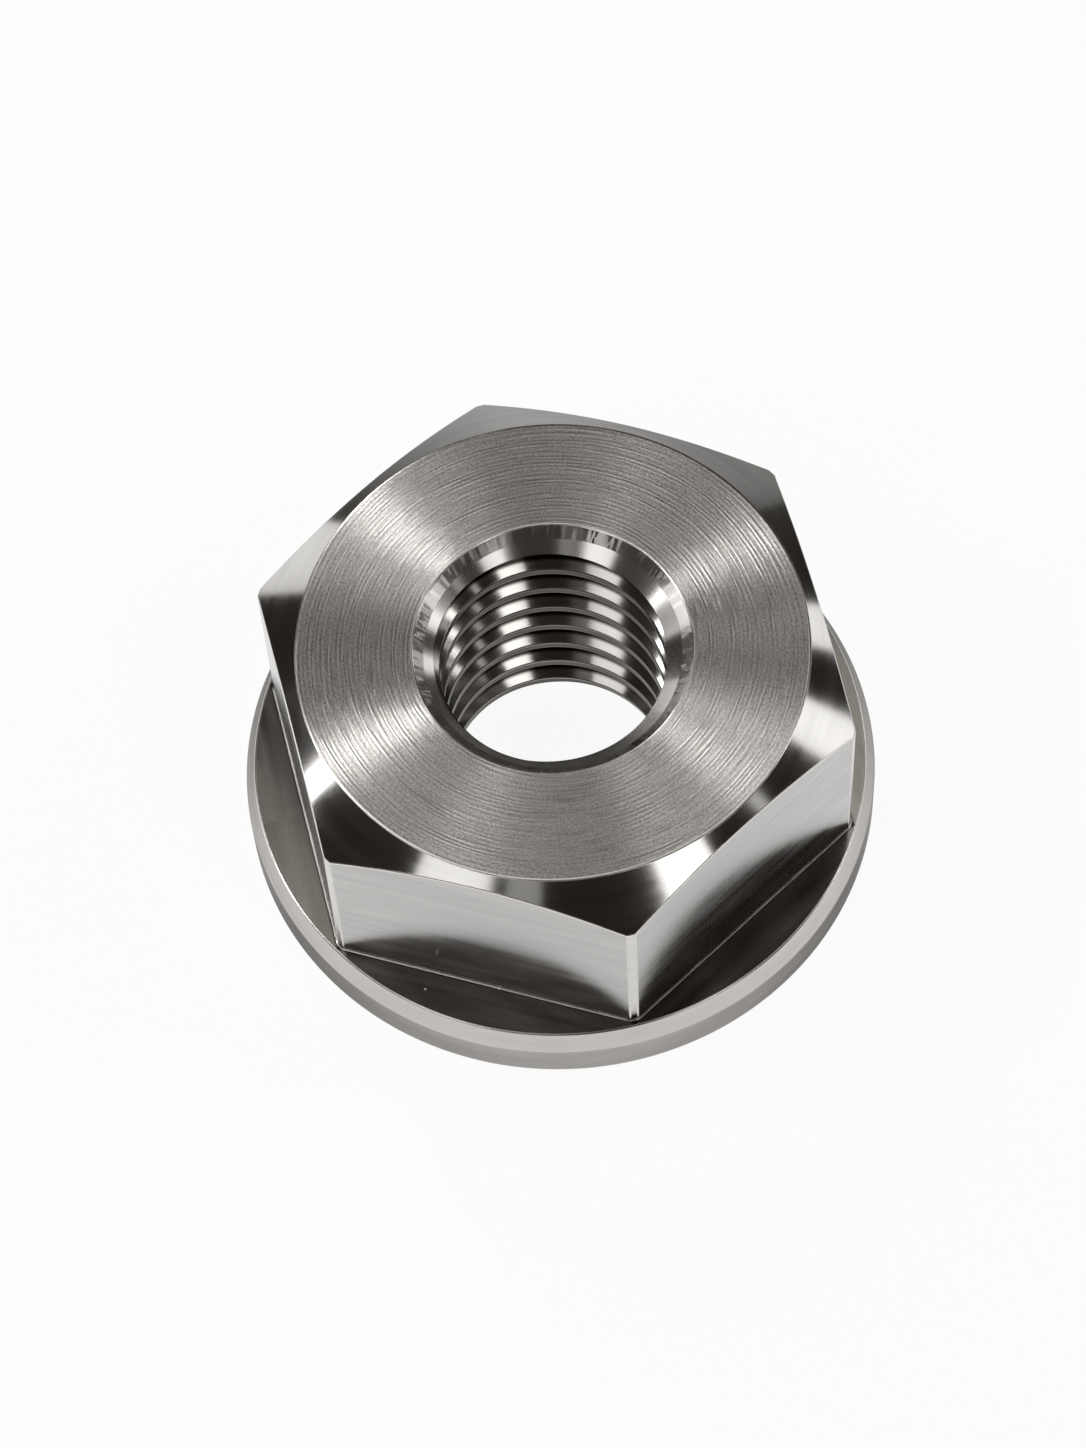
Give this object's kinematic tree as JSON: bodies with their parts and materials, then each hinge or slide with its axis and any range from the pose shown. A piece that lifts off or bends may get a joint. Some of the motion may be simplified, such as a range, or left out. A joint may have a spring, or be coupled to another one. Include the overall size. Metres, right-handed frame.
{
  "type": "flange nut",
  "caption": "Tall hexagon nut in one piece with a plain round flange under it, a tapped hole right through, turned chamfers and a bevelled rim.",
  "frame": {"origin": "centre of the bearing face, on the axis of the hole", "axes": "+Z along the hole, from the bearing face to the top face; two corners of the hexagon lie on the Y axis"},
  "size_m": [0.029, 0.029, 0.0136],
  "materials": {
    "machined_steel": "turned, milled and part polished, bare metal"
  },
  "bodies": {
    "root": {"flange_nut": "machined_steel"}
  },
  "joints": []
}
